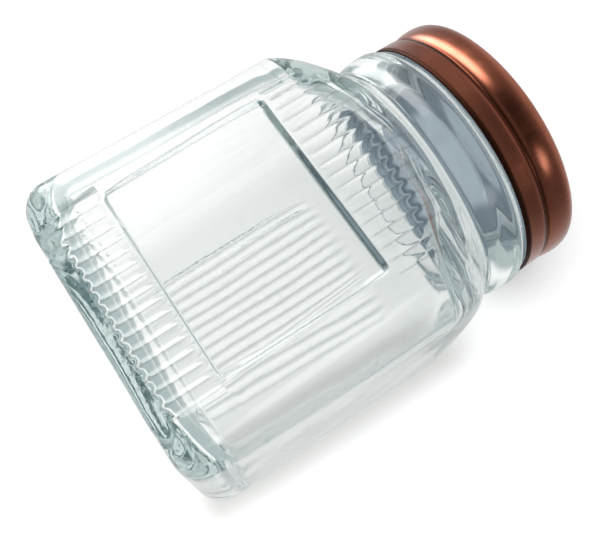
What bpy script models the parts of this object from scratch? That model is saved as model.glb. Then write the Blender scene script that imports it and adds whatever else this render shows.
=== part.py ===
"""Airtight square glass storage jar with a screwed metal lid and a sealing ring.

Metres, +Z up. The origin is the centre of the foot, the fluted front panel faces -Y, and the mouth
opens upward. Every length is a driving dimension below or is worked out from them.
"""
import math

import bmesh
import bpy

# Clearance between pieces that touch in use
CLEARANCE = 0.0003

# Glass body: outer sizes
BODY_WIDTH = 0.1000
BASE_CORNER_RADIUS = 0.0127
TOP_CORNER_RADIUS = 0.0218
HEEL_RUN = 0.0090
HEEL_HEIGHT = 0.0100
WALL_TOP_Z = 0.0880
SHOULDER_HEIGHT = 0.0188
SHOULDER_LEDGE = 0.0013
SHOULDER_FLATNESS_share = 0.62
FOOT_FLAT_WIDTH = 0.0035
PUSH_UP_HEIGHT = 0.0025
PUSH_UP_SLOPE = 0.0060

# Glass body: wall and hollow
WALL_THICKNESS = 0.0036
FLOOR_THICKNESS = 0.0070
INNER_HEEL_RADIUS = 0.0090
MOUTH_RADIUS = 0.03675

# Flutes on the front and the back, and the sunk panel on the front
FLUTE_COUNT = 16
FLUTE_PITCH = 0.00422
FLUTE_DEPTH = 0.0008
FLUTE_WIDTH_share = 0.86
PANEL_SIDE_MARGIN = 0.0017
PANEL_BOTTOM_Z = 0.0224
PANEL_TOP_MARGIN = 0.0112
PANEL_DEPTH = 0.0013
PANEL_CORNER = 0.0035
PANEL_FRAME = 0.0011

# Neck, collar and threaded finish of the glass
NECK_WALL = 0.00585
NECK_ROOT_RISE = 0.0016
NECK_HEIGHT = 0.0016
COLLAR_SWELL_HEIGHT = 0.0102
COLLAR_ROUND_HEIGHT = 0.0035
COLLAR_BULGE = 0.0019
COLLAR_LEDGE = 0.0018
FINISH_WALL = 0.0035
FINISH_HEIGHT = 0.0170
LIP_ROUND = 0.0011

# Thread, shared by the glass and the lid
THREAD_PITCH = 0.0050
GLASS_THREAD_RISE = 0.0047
GLASS_THREAD_TURNS = 1.5
LID_THREAD_DROP = 0.0014
LID_THREAD_TURNS = 1.0
THREAD_HEIGHT = 0.0011
THREAD_SINK = 0.0005
THREAD_HALF_ROOT = 0.0011
THREAD_HALF_CREST = 0.0004
THREAD_RUNOUT_share = 0.12

# Lid
LID_COLLAR_GAP = 0.0010
LID_SHEET = 0.0005
CURL_RADIUS = 0.0006
SKIRT_BULGE = 0.0003
WAIST_RISE = 0.0043
GROOVE_RISE = 0.0095
GROOVE_DEPTH = 0.0009
GROOVE_HALF_HEIGHT = 0.0009
LID_EDGE_RADIUS = 0.0034
ROOF_STEP_INSET = 0.0093
ROOF_STEP_WIDTH = 0.0016
ROOF_STEP_DEPTH = 0.0006

# Sealing ring
SEAL_THICKNESS = 0.0015
SEAL_OVERHANG = 0.0008
SEAL_SKIRT = 0.0016
SEAL_CHAMFER = 0.0014
SEAL_SKIRT_DROP = 0.0018

# Fineness
SIDE_STEPS = 8
CORNER_STEPS = 8
ROUND_STEPS = 48
MERGE_DISTANCE = 0.00001

# Worked out: the body and its front
HALF_WIDTH = BODY_WIDTH / 2
SHOULDER_TOP_Z = WALL_TOP_Z + SHOULDER_HEIGHT
FLUTE_FIELD = FLUTE_COUNT * FLUTE_PITCH / 2
PANEL_HALF_WIDTH = FLUTE_FIELD - PANEL_SIDE_MARGIN
PANEL_TOP_Z = WALL_TOP_Z - PANEL_TOP_MARGIN

# Worked out: radii from the mouth outward
FINISH_RADIUS = MOUTH_RADIUS + FINISH_WALL
NECK_RADIUS = MOUTH_RADIUS + NECK_WALL
SHOULDER_RADIUS = NECK_RADIUS + SHOULDER_LEDGE
COLLAR_RADIUS = NECK_RADIUS + COLLAR_BULGE
COLLAR_LEDGE_RADIUS = FINISH_RADIUS + COLLAR_LEDGE
GROOVE_RADIUS = FINISH_RADIUS + THREAD_HEIGHT + CLEARANCE + LID_SHEET
LID_SIDE_RADIUS = GROOVE_RADIUS + GROOVE_DEPTH
LID_RADIUS = LID_SIDE_RADIUS + SKIRT_BULGE
LID_THREAD_RADIUS = FINISH_RADIUS + 2 * CLEARANCE
ROOF_STEP_RADIUS = LID_RADIUS - ROOF_STEP_INSET
SEAL_INNER_RADIUS = MOUTH_RADIUS - SEAL_OVERHANG
SEAL_SKIRT_RADIUS = FINISH_RADIUS + CLEARANCE
SEAL_OUTER_RADIUS = SEAL_SKIRT_RADIUS + SEAL_SKIRT

# Worked out: heights from the shoulder upward
NECK_BOTTOM_Z = SHOULDER_TOP_Z + NECK_ROOT_RISE
COLLAR_BOTTOM_Z = NECK_BOTTOM_Z + NECK_HEIGHT
COLLAR_WIDEST_Z = COLLAR_BOTTOM_Z + COLLAR_SWELL_HEIGHT
COLLAR_TOP_Z = COLLAR_WIDEST_Z + COLLAR_ROUND_HEIGHT
LIP_TOP_Z = COLLAR_TOP_Z + FINISH_HEIGHT
GLASS_THREAD_BOTTOM_Z = COLLAR_TOP_Z + GLASS_THREAD_RISE
SEAL_BOTTOM_Z = LIP_TOP_Z + CLEARANCE
SEAL_TOP_Z = SEAL_BOTTOM_Z + SEAL_THICKNESS
LID_TOP_Z = SEAL_TOP_Z + CLEARANCE + LID_SHEET
LID_BOTTOM_Z = COLLAR_TOP_Z + LID_COLLAR_GAP
WAIST_Z = LID_BOTTOM_Z + WAIST_RISE
GROOVE_Z = LID_BOTTOM_Z + GROOVE_RISE


def clear_scene():
    for item in list(bpy.data.objects):
        bpy.data.objects.remove(item, do_unlink=True)


def collection(name):
    group = bpy.data.collections.new(name)
    bpy.context.scene.collection.children.link(group)
    return group


def material(name, colour, roughness, metallic=0.0, transmission=0.0):
    surface = bpy.data.materials.new(name)
    surface.use_nodes = True
    shader = surface.node_tree.nodes["Principled BSDF"]
    shader.inputs["Base Color"].default_value = (*colour, 1)
    shader.inputs["Roughness"].default_value = roughness
    shader.inputs["Metallic"].default_value = metallic
    shader.inputs["Transmission Weight"].default_value = transmission
    return surface


def object_from_bmesh(name, shape, group):
    bmesh.ops.recalc_face_normals(shape, faces=shape.faces)
    mesh = bpy.data.meshes.new(name)
    shape.to_mesh(mesh)
    shape.free()
    item = bpy.data.objects.new(name, mesh)
    group.objects.link(item)
    return item


def cutter_look(item):
    item.hide_render = True
    item.display_type = "WIRE"


def boolean(item, other, operation):
    modifier = item.modifiers.new(other.name, "BOOLEAN")
    modifier.operation = operation
    modifier.solver = "EXACT"
    modifier.object = other


def section_angles():
    """Angles of one ring: even steps across each side, then even steps round each corner arc."""
    flat = HALF_WIDTH - TOP_CORNER_RADIUS
    side_angle = math.atan2(flat, HALF_WIDTH)
    angles = []
    for quarter in range(4):
        middle = quarter * math.pi / 2
        for step in range(SIDE_STEPS):
            angles.append(middle - side_angle + 2 * side_angle * step / SIDE_STEPS)
        for step in range(CORNER_STEPS):
            turn = math.pi / 2 * step / CORNER_STEPS
            x = flat + TOP_CORNER_RADIUS * math.cos(turn)
            y = flat + TOP_CORNER_RADIUS * math.sin(turn)
            angles.append(middle + math.atan2(y, x))
    return angles


def square_reach(angle, half, corner):
    """Distance from the axis to a square with rounded corners, along an angle."""
    along = abs(math.cos(angle))
    across = abs(math.sin(angle))
    longer = max(along, across)
    shorter = min(along, across)
    reach = half / longer
    flat = half - corner
    if reach * shorter <= flat:
        return reach
    middle = flat * (along + across)
    return middle + math.sqrt(max(middle * middle - 2 * flat * flat + corner * corner, 0))


def corner_at(z):
    """Corner radius of the body, which grows from the base to the shoulder."""
    return BASE_CORNER_RADIUS + (TOP_CORNER_RADIUS - BASE_CORNER_RADIUS) * z / WALL_TOP_Z


def square_ring(inset, z):
    return [(square_reach(angle, HALF_WIDTH - inset, corner_at(z)), z) for angle in section_angles()]


def round_ring(radius, z):
    return [(radius, z)] * len(section_angles())


def shoulder_ring(inset, radius, bottom, top, turn):
    """A ring of the shoulder, which turns from the rounded square into a circle, flatter at its corners."""
    half = HALF_WIDTH - inset
    farthest = square_reach(math.pi / 4, half, TOP_CORNER_RADIUS)
    ring = []
    for angle in section_angles():
        square = square_reach(angle, half, TOP_CORNER_RADIUS)
        toward_corner = (square - half) / (farthest - half)
        bend = 1 + SHOULDER_FLATNESS_share * toward_corner ** 2
        inward = 1 - math.cos(turn) ** bend
        z = bottom + (top - bottom) * math.sin(turn) ** bend
        ring.append((square + (radius - square) * inward, z))
    return ring


def glass_rings():
    """Rings of the glass, from under the base, up the outside, over the lip and down to the inner floor."""
    rings = []
    foot_inner = HEEL_RUN + FOOT_FLAT_WIDTH
    rings.append(square_ring(foot_inner + PUSH_UP_SLOPE, PUSH_UP_HEIGHT))
    rings.append(square_ring(foot_inner, 0))
    for step in range(5):
        turn = math.pi / 2 * step / 4
        rings.append(square_ring(HEEL_RUN * (1 - math.sin(turn)), HEEL_HEIGHT * (1 - math.cos(turn))))
    rings.append(square_ring(0, WALL_TOP_Z))
    for step in range(1, 8):
        turn = math.pi / 2 * step / 7
        rings.append(shoulder_ring(0, SHOULDER_RADIUS, WALL_TOP_Z, SHOULDER_TOP_Z, turn))
    rings.append(round_ring((SHOULDER_RADIUS + NECK_RADIUS) / 2, SHOULDER_TOP_Z + CLEARANCE))
    rings.append(round_ring(NECK_RADIUS, NECK_BOTTOM_Z))
    rings.append(round_ring(NECK_RADIUS, COLLAR_BOTTOM_Z))
    for step in range(1, 5):
        turn = math.pi / 2 * step / 4
        bulge = COLLAR_BULGE * math.sin(turn)
        rings.append(round_ring(NECK_RADIUS + bulge, COLLAR_WIDEST_Z - COLLAR_SWELL_HEIGHT * math.cos(turn)))
    for step in range(1, 5):
        turn = math.pi / 2 * step / 4
        reach = COLLAR_LEDGE_RADIUS + (COLLAR_RADIUS - COLLAR_LEDGE_RADIUS) * math.cos(turn)
        rings.append(round_ring(reach, COLLAR_WIDEST_Z + COLLAR_ROUND_HEIGHT * math.sin(turn)))
    rings.append(round_ring(FINISH_RADIUS, COLLAR_TOP_Z + LIP_ROUND))
    rings.append(round_ring(FINISH_RADIUS, LIP_TOP_Z - LIP_ROUND))
    rings.append(round_ring(FINISH_RADIUS - LIP_ROUND, LIP_TOP_Z))
    rings.append(round_ring(MOUTH_RADIUS + LIP_ROUND, LIP_TOP_Z))
    rings.append(round_ring(MOUTH_RADIUS, LIP_TOP_Z - LIP_ROUND))
    inner_shoulder_top = SHOULDER_TOP_Z - WALL_THICKNESS
    rings.append(round_ring(MOUTH_RADIUS, SHOULDER_TOP_Z + WALL_THICKNESS))
    for step in range(6, -1, -1):
        turn = math.pi / 2 * step / 7
        rings.append(shoulder_ring(WALL_THICKNESS, MOUTH_RADIUS, WALL_TOP_Z, inner_shoulder_top, turn))
    for step in range(4, -1, -1):
        turn = math.pi / 2 * step / 4
        inset = WALL_THICKNESS + INNER_HEEL_RADIUS * (1 - math.sin(turn))
        rings.append(square_ring(inset, FLOOR_THICKNESS + INNER_HEEL_RADIUS * (1 - math.cos(turn))))
    return rings


def loft(name, rings, group):
    """A closed solid through rings of equal count, capped at the first and the last ring."""
    angles = section_angles()
    shape = bmesh.new()
    levels = []
    for ring in rings:
        level = []
        for angle, (reach, z) in zip(angles, ring):
            level.append(shape.verts.new((reach * math.cos(angle), reach * math.sin(angle), z)))
        levels.append(level)
    count = len(angles)
    walls = []
    for lower, upper in zip(levels, levels[1:]):
        for index in range(count):
            after = (index + 1) % count
            walls.append(shape.faces.new((lower[index], lower[after], upper[after], upper[index])))
    bmesh.ops.triangulate(shape, faces=walls)
    shape.faces.new(levels[0])
    shape.faces.new(levels[-1])
    return object_from_bmesh(name, shape, group)


def prism(name, outline, bottom, top, group):
    """An upright prism on an XY outline."""
    shape = bmesh.new()
    face = shape.faces.new([shape.verts.new((x, y, bottom)) for x, y in outline])
    raised = bmesh.ops.extrude_face_region(shape, geom=[face])
    moved = [part for part in raised["geom"] if isinstance(part, bmesh.types.BMVert)]
    bmesh.ops.translate(shape, verts=moved, vec=(0, 0, top - bottom))
    item = object_from_bmesh(name, shape, group)
    cutter_look(item)
    return item


def flute_outline(side):
    """Scalloped cutting edge: one shallow arc for each flute, with flat rib crests between them."""
    outside = side * (HALF_WIDTH + PANEL_DEPTH * 2)
    points = [(-FLUTE_FIELD, outside)]
    half_flute = FLUTE_PITCH * FLUTE_WIDTH_share / 2
    crest = side * (HALF_WIDTH + MERGE_DISTANCE)
    for flute in range(FLUTE_COUNT):
        middle = (flute - (FLUTE_COUNT - 1) / 2) * FLUTE_PITCH
        points.append((middle - half_flute, crest))
        for share in (-0.5, 0, 0.5):
            depth = FLUTE_DEPTH * math.cos(share * math.pi / 2)
            points.append((middle + share * half_flute, side * (HALF_WIDTH - depth)))
        points.append((middle + half_flute, crest))
    points.append((FLUTE_FIELD, outside))
    return points


def cut_flutes(glass, group):
    """Flutes run the whole way up the back; on the front they stop below the panel and start again above it."""
    front = flute_outline(-1)
    low = prism("flutes_front_low", front, -HEEL_HEIGHT, PANEL_BOTTOM_Z - PANEL_FRAME, group)
    high = prism("flutes_front_high", front, PANEL_TOP_Z + PANEL_FRAME, SHOULDER_TOP_Z, group)
    back = prism("flutes_back", flute_outline(1), -HEEL_HEIGHT, SHOULDER_TOP_Z, group)
    for cutter in (low, high, back):
        boolean(glass, cutter, "DIFFERENCE")


def cut_panel(glass, group):
    shape = bmesh.new()
    bmesh.ops.create_cube(shape, size=1)
    bmesh.ops.scale(shape, verts=shape.verts, vec=(2 * PANEL_HALF_WIDTH, 2 * PANEL_DEPTH,
                                                   PANEL_TOP_Z - PANEL_BOTTOM_Z))
    across = [edge for edge in shape.edges
              if abs(edge.verts[0].co.y - edge.verts[1].co.y) > PANEL_DEPTH]
    bmesh.ops.bevel(shape, geom=across, offset=PANEL_CORNER, segments=3, profile=0.5, affect="EDGES")
    item = object_from_bmesh("panel_front", shape, group)
    item.location = (0, -HALF_WIDTH, (PANEL_BOTTOM_Z + PANEL_TOP_Z) / 2)
    cutter_look(item)
    boolean(glass, item, "DIFFERENCE")


def thread_ridge(name, root, crest, half_root, half_crest, bottom, turns, group):
    """A ridge of trapezoid section along a right-hand helix, which sinks to its root at both ends."""
    count = int(round(turns * ROUND_STEPS)) + 1
    shape = bmesh.new()
    sections = []
    for index in range(count):
        along = index / (count - 1)
        angle = 2 * math.pi * turns * along
        rise = min(min(along, 1 - along) / THREAD_RUNOUT_share, 1)
        height = max(rise, THREAD_RUNOUT_share)
        tip = root + (crest - root) * height
        z = bottom + THREAD_PITCH * turns * along
        corners = [(root, z - half_root), (tip, z - half_crest), (tip, z + half_crest), (root, z + half_root)]
        sections.append([shape.verts.new((reach * math.cos(angle), reach * math.sin(angle), level))
                         for reach, level in corners])
    for here, after in zip(sections, sections[1:]):
        for side in range(4):
            other = (side + 1) % 4
            shape.faces.new((here[side], here[other], after[other], after[side]))
    shape.faces.new(sections[0])
    shape.faces.new(sections[-1])
    item = object_from_bmesh(name, shape, group)
    cutter_look(item)
    return item


def make_glass(group, cutters):
    glass = loft("glass_jar", glass_rings(), group)
    cut_panel(glass, cutters)
    cut_flutes(glass, cutters)
    ridge = thread_ridge("glass_thread", FINISH_RADIUS - THREAD_SINK, FINISH_RADIUS + THREAD_HEIGHT,
                         THREAD_HALF_ROOT, THREAD_HALF_CREST, GLASS_THREAD_BOTTOM_Z,
                         GLASS_THREAD_TURNS, cutters)
    boolean(glass, ridge, "UNION")
    glass.data.materials.append(material("clear_glass", (0.86, 0.94, 0.93), 0.02, transmission=1.0))


def turned(name, profile, closed, group):
    """A solid of revolution about Z from an XZ profile, which runs down its outer side."""
    mesh = bpy.data.meshes.new(name)
    edges = [(index, index + 1) for index in range(len(profile) - 1)]
    if closed:
        edges.append((len(profile) - 1, 0))
    mesh.from_pydata([(radius, 0, z) for radius, z in profile], edges, [])
    item = bpy.data.objects.new(name, mesh)
    group.objects.link(item)
    screw = item.modifiers.new("turn", "SCREW")
    screw.steps = ROUND_STEPS
    screw.render_steps = ROUND_STEPS
    screw.use_merge_vertices = True
    screw.merge_threshold = MERGE_DISTANCE
    screw.use_smooth_shade = True
    return item


def lid_radius_at(z):
    """Outer radius of the lid's side: two soft bulges, with the pressed groove above them."""
    if z < GROOVE_Z - GROOVE_HALF_HEIGHT:
        low = LID_BOTTOM_Z if z < WAIST_Z else WAIST_Z
        high = WAIST_Z if z < WAIST_Z else GROOVE_Z - GROOVE_HALF_HEIGHT
        share = (z - low) / (high - low)
        return LID_SIDE_RADIUS + SKIRT_BULGE * math.sin(math.pi * share)
    if z < GROOVE_Z + GROOVE_HALF_HEIGHT:
        share = (z - GROOVE_Z) / GROOVE_HALF_HEIGHT
        return LID_SIDE_RADIUS - GROOVE_DEPTH * (1 + math.cos(math.pi * share)) / 2
    return LID_RADIUS


def lid_outer_side():
    """The lid's outer face, from the axis at the top down to the curl."""
    step_mid = ROOF_STEP_RADIUS - ROOF_STEP_WIDTH / 2
    points = [(0, LID_TOP_Z)]
    points.append((ROOF_STEP_RADIUS - ROOF_STEP_WIDTH, LID_TOP_Z))
    points.append((step_mid, LID_TOP_Z - ROOF_STEP_DEPTH))
    points.append((ROOF_STEP_RADIUS, LID_TOP_Z))
    for step in range(5):
        turn = math.pi / 2 * step / 4
        points.append((LID_RADIUS - LID_EDGE_RADIUS * (1 - math.sin(turn)),
                       LID_TOP_Z - LID_EDGE_RADIUS * (1 - math.cos(turn))))
    upper_band = GROOVE_Z + GROOVE_HALF_HEIGHT
    heights = [upper_band, GROOVE_Z + GROOVE_HALF_HEIGHT / 2, GROOVE_Z, GROOVE_Z - GROOVE_HALF_HEIGHT / 2]
    heights += [GROOVE_Z - GROOVE_HALF_HEIGHT, (WAIST_Z + GROOVE_Z - GROOVE_HALF_HEIGHT) / 2, WAIST_Z]
    heights += [(WAIST_Z + LID_BOTTOM_Z) / 2, LID_BOTTOM_Z + CURL_RADIUS * 2]
    for z in heights:
        points.append((lid_radius_at(z), z))
    return points


def lid_profile():
    """Outer face down to the curled edge, then the inner face back up to the axis."""
    outer = lid_outer_side()
    low_radius, low_z = outer[-1]
    curl = []
    for step in range(1, 4):
        turn = math.pi * step / 4
        radius = low_radius - CURL_RADIUS * (1 - math.cos(turn))
        curl.append((radius, low_z - 2 * CURL_RADIUS * math.sin(turn)))
    inner = []
    for index in range(len(outer) - 1, -1, -1):
        radius, z = outer[index]
        before = outer[max(index - 1, 0)]
        after = outer[min(index + 1, len(outer) - 1)]
        along = (after[0] - before[0], after[1] - before[1])
        length = math.hypot(*along)
        inward = (along[1] / length, -along[0] / length)
        inner.append((max(radius + inward[0] * LID_SHEET, 0), z + inward[1] * LID_SHEET))
    inner[0] = (low_radius - 2 * CURL_RADIUS, low_z)
    inner[-1] = (0, LID_TOP_Z - LID_SHEET)
    return outer + curl + inner


def make_lid(group, cutters):
    lid = turned("lid_cap", lid_profile(), False, group)
    ridge = thread_ridge("lid_thread", LID_SIDE_RADIUS - LID_SHEET / 5, LID_THREAD_RADIUS,
                         THREAD_HALF_ROOT, THREAD_HALF_CREST, GLASS_THREAD_BOTTOM_Z - LID_THREAD_DROP,
                         LID_THREAD_TURNS, cutters)
    boolean(lid, ridge, "UNION")
    lid.data.materials.append(material("copper_coloured_metal", (0.36, 0.13, 0.075), 0.22, metallic=1.0))


def make_seal(group):
    """An L-section ring: a flat flange over the lip and a short skirt outside it."""
    skirt_bottom = LIP_TOP_Z - SEAL_SKIRT_DROP
    profile = [(SEAL_INNER_RADIUS, SEAL_TOP_Z), (SEAL_OUTER_RADIUS - SEAL_CHAMFER, SEAL_TOP_Z),
               (SEAL_OUTER_RADIUS, SEAL_BOTTOM_Z), (SEAL_OUTER_RADIUS, skirt_bottom),
               (SEAL_SKIRT_RADIUS, skirt_bottom), (SEAL_SKIRT_RADIUS, SEAL_BOTTOM_Z),
               (SEAL_INNER_RADIUS, SEAL_BOTTOM_Z)]
    seal = turned("seal_ring", profile, True, group)
    seal.data.materials.append(material("sealing_ring", (0.86, 0.86, 0.84), 0.45))


def main():
    clear_scene()
    parts = collection("airtight_glass_jar")
    cutters = collection("cutters")
    make_glass(parts, cutters)
    make_lid(parts, cutters)
    make_seal(parts)


main()
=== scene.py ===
"""Square fluted glass jar with a copper-coloured screw lid and its sealing ring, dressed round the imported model."""
import math

import bmesh
import bpy
from mathutils import Matrix, Vector


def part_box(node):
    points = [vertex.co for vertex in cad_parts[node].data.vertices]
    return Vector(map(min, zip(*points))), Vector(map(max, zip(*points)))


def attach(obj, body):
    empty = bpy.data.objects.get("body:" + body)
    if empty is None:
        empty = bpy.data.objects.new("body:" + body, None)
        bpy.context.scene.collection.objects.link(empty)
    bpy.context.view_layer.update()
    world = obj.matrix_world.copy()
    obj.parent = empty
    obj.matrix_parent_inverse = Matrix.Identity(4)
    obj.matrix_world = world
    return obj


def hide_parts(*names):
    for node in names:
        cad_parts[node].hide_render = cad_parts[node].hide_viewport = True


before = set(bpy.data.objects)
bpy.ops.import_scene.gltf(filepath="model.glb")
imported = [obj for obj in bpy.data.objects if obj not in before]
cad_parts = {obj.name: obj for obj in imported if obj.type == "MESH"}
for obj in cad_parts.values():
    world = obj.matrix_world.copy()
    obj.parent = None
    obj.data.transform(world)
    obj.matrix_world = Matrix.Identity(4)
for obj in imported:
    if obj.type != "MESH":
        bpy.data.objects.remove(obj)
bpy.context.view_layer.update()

MM = 0.001
glass_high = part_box("glass_jar")[1]

# Outside of the glass, from the push-up under the base to the shoulder
HALF = glass_high.x
BASE_CORNER, TOP_CORNER = 12.7 * MM, 21.8 * MM
PUSH_UP, PUSH_UP_SLOPE, PUSH_UP_CROWN = 2.5 * MM, 6.0 * MM, 0.5 * MM
FOOT_FLAT, HEEL_RUN, HEEL_HEIGHT = 3.5 * MM, 9.0 * MM, 10.0 * MM
WALL_TOP, SHOULDER_HEIGHT, SHOULDER_FLATNESS = 88.0 * MM, 18.8 * MM, 0.62
SHOULDER_TOP, SHOULDER_RIM = WALL_TOP + SHOULDER_HEIGHT, 43.9 * MM
RIM_SWEEP, RIM_SWEEP_RUN = 1.1 * MM, 3.5 * MM

# Outside of the glass, from the neck to the lip
NECK_FOOT = [(43.2, 108.6), (42.85, 109.4), (42.65, 110.2), (42.6, 110.9)]
NECK, COLLAR, COLLAR_LEDGE, FINISH = 42.6 * MM, 44.5 * MM, 42.05 * MM, 40.25 * MM
COLLAR_LOW, COLLAR_WIDEST, COLLAR_TOP, LEDGE_RISE = 111.0 * MM, 120.2 * MM, 123.7 * MM, 1.1 * MM
FINISH_LOW, FINISH_HIGH = 126.6 * MM, 138.0 * MM
LIP_TOP, LIP_ROUND = glass_high.z, 1.3 * MM

# Inside of the glass
WALL, FLOOR, FLOOR_DISH, INNER_HEEL, INNER_WALL_LOW = 3.6 * MM, 7.0 * MM, 0.6 * MM, 9.0 * MM, 16.0 * MM
MOUTH, MOUTH_LOW, MOUTH_RIPPLE = 36.75 * MM, 110.4 * MM, 0.28 * MM
MOUTH_FLARE = [(0.1, 108.9), (0.5, 107.6)]
INNER_FLARE, INNER_SWEEP, INNER_SWEEP_RUN = 1.2 * MM, 3.4 * MM, 7.0 * MM
INSIDE_WAVE = 0.035 * MM

# Flutes on the front and the back, and the front's sunk panel
FLUTES, FLUTE_PITCH, FLUTE_CUTS = 16, 4.22 * MM, 12
FRONT_FLUTE, BACK_FLUTE, FLUTE_SHARPNESS, FLUTE_BLEND = 0.55 * MM, 0.75 * MM, 2.8, 0.12 * MM
FLUTE_FIELD = FLUTES * FLUTE_PITCH / 2
PANEL_HALF, PANEL_LOW, PANEL_HIGH = 32.06 * MM, 22.4 * MM, 76.8 * MM
PANEL_MIDDLE, PANEL_REACH = (PANEL_LOW + PANEL_HIGH) / 2, (PANEL_HIGH - PANEL_LOW) / 2
PANEL_DEPTH, PANEL_CORNER, PANEL_EDGE, PANEL_FRAME = 1.6 * MM, 3.5 * MM, 1.3 * MM, 1.1 * MM

# Screw thread
PITCH, THREAD_RISE, THREAD_HALF, THREAD_FADE = 5.0 * MM, 1.1 * MM, 1.1 * MM, 0.12
GLASS_THREAD_LOW, GLASS_THREAD_TURNS = 128.4 * MM, 1.5
LID_THREAD_LOW, LID_THREAD_CREST, LID_THREAD_TURNS = 127.0 * MM, 40.85 * MM, 1.0

# Columns of points round the glass
SIDE_STEPS, SIDE_TURN, SEAM = 16, math.radians(33), 0.001


def smooth_step(value, start, end):
    """0 at start, 1 at end, with soft turns at both."""
    share = min(max((value - start) / (end - start), 0), 1)
    return share * share * (3 - 2 * share)


def spread(start, end, count):
    """Even steps from just after start up to end."""
    return [start + (end - start) * step / count for step in range(1, count + 1)]


def from_seam(angle):
    """An angle counted from just short of the right side, so that no column lands on both ends of the round."""
    return (angle + SEAM) % (2 * math.pi)


def column_angles():
    """Where the columns of points stand: close together across the flutes, wider round the sides."""
    across = [math.atan2(-HALF, -FLUTE_FIELD + FLUTE_PITCH / FLUTE_CUTS * step)
              for step in range(FLUTES * FLUTE_CUTS + 1)]
    corner = spread(across[-1], -SIDE_TURN, SIDE_STEPS)
    side = corner + spread(-SIDE_TURN, SIDE_TURN, SIDE_STEPS) + [-angle for angle in reversed(corner[:-1])]
    front_and_side = across + side
    all_round = front_and_side + [angle + math.pi for angle in front_and_side]
    return [angle - SEAM for angle in sorted(from_seam(angle) for angle in all_round)]


COLUMNS = column_angles()


def square_reach(angle, half, corner):
    """Distance from the axis to a square with rounded corners, in one direction."""
    along, across = abs(math.cos(angle)), abs(math.sin(angle))
    reach = half / max(along, across)
    flat = half - corner
    if reach * min(along, across) <= flat:
        return reach
    middle = flat * (along + across)
    return middle + math.sqrt(max(middle * middle - 2 * flat * flat + corner * corner, 0))


def square_ring(inset, z):
    """A ring of the body, as (reach, height) for each column. Its corners grow rounder toward the shoulder."""
    corner = BASE_CORNER + (TOP_CORNER - BASE_CORNER) * z / WALL_TOP
    half = HALF - inset
    return [(square_reach(angle, half, min(corner, half * 0.98)), z) for angle in COLUMNS]


def round_ring(radius, z):
    """A ring of the neck, the collar or the mouth."""
    return [(radius, z)] * len(COLUMNS)


def shrunk_ring(share, height, inset):
    """A ring on the way to the middle of the base or the floor."""
    return [(reach * share, height) for reach, _ in square_ring(inset, 0)]


def shoulder_ring(inset, radius, low, high, turn):
    """A ring between the square body (turn 0) and the round neck (a quarter turn)."""
    half = HALF - inset
    farthest = square_reach(math.pi / 4, half, TOP_CORNER)
    ring = []
    for angle in COLUMNS:
        square = square_reach(angle, half, TOP_CORNER)
        toward_corner = (square - half) / (farthest - half)
        bend = 1 + SHOULDER_FLATNESS * toward_corner ** 2
        inward = 1 - max(math.cos(turn), 0) ** bend
        ring.append((square + (radius - square) * inward, low + (high - low) * math.sin(turn) ** bend))
    return ring


def sweep_up(reach, foot, run, rise):
    """Extra height of the shoulder where it turns up into the neck."""
    return rise * max(1 - (reach - foot) / run, 0) ** 2


def base_rings():
    """The push-up under the base, its slope, the flat foot and the heel."""
    slope_inner = HEEL_RUN + FOOT_FLAT + PUSH_UP_SLOPE
    rings = [shrunk_ring(share, PUSH_UP + PUSH_UP_CROWN * (1 - share), slope_inner) for share in (0.05, 0.4, 0.8)]
    for share in [0] + spread(0, 1, 6):
        rings.append(square_ring(slope_inner - PUSH_UP_SLOPE * share, PUSH_UP * (1 - smooth_step(share, 0, 1))))
    rings.append(square_ring(HEEL_RUN + FOOT_FLAT / 2, 0))
    for turn in [0] + spread(0, math.pi / 2, 14):
        rings.append(square_ring(HEEL_RUN * (1 - math.sin(turn)), HEEL_HEIGHT * (1 - math.cos(turn))))
    return rings


def wall_rings():
    """The side, with rings close together at the panel's lower and upper edges."""
    rings, start = [], HEEL_HEIGHT
    for end, count in ((PANEL_LOW - 1.6 * MM, 5), (PANEL_LOW - 0.1 * MM, 3), (PANEL_LOW + 1.7 * MM, 8),
                       (PANEL_HIGH - 1.7 * MM, 8), (PANEL_HIGH + 0.1 * MM, 8), (PANEL_HIGH + 1.6 * MM, 3),
                       (WALL_TOP, 3)):
        rings += [square_ring(0, z) for z in spread(start, end, count)]
        start = end
    return rings


def collar_rings():
    """The shoulder, the short neck, the round collar and the ledge on top of it."""
    rings = []
    for turn in spread(0, math.pi / 2, 24):
        ring = shoulder_ring(0, SHOULDER_RIM, WALL_TOP, SHOULDER_TOP, turn)
        rings.append([(reach, z + sweep_up(reach, SHOULDER_RIM, RIM_SWEEP_RUN, RIM_SWEEP)) for reach, z in ring])
    rings += [round_ring(radius * MM, z * MM) for radius, z in NECK_FOOT]
    for step in spread(0, 1, 12):
        share = step ** 1.3
        swell = (1 - (1 - share) ** 2.6) ** 0.8
        rings.append(round_ring(NECK + (COLLAR - NECK) * swell, COLLAR_LOW + (COLLAR_WIDEST - COLLAR_LOW) * share))
    for turn in spread(0, math.pi / 2, 8):
        rings.append(round_ring(COLLAR_LEDGE + (COLLAR - COLLAR_LEDGE) * math.cos(turn),
                                COLLAR_WIDEST + (COLLAR_TOP - COLLAR_WIDEST) * math.sin(turn)))
    for turn in spread(0, math.pi / 2, 5):
        rings.append(round_ring(COLLAR_LEDGE - (COLLAR_LEDGE - FINISH) * math.sin(turn),
                                COLLAR_TOP + LEDGE_RISE * (1 - math.cos(turn))))
    return rings


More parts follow.
